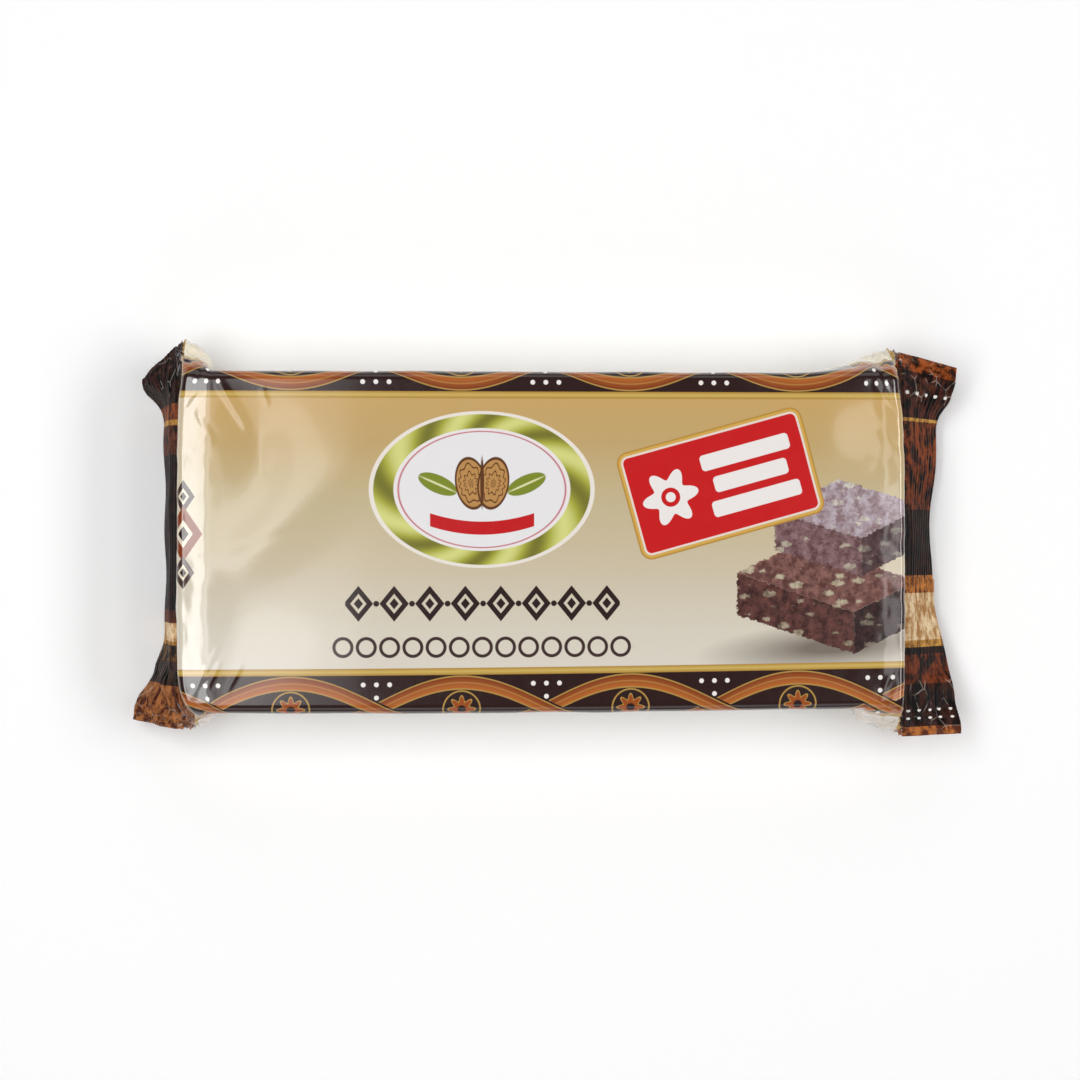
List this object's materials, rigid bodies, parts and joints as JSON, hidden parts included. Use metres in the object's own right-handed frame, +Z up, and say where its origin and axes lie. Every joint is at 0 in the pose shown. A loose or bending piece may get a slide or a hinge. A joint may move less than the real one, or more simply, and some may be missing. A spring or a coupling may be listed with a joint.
{
  "type": "wrapped halva bar",
  "caption": "Rectangular block of halva sealed in a glossy printed film wrapper with crimped end fins and crumpled corners.",
  "frame": {"origin": "middle of the flat underside, on the lap seam of the back", "axes": "+X along the block, +Y across it, +Z up through the printed face"},
  "size_m": [0.2198, 0.104, 0.028],
  "materials": {
    "printed_film": "glossy printed film"
  },
  "bodies": {
    "root": {"wrapped_brick": "printed_film"}
  },
  "joints": []
}
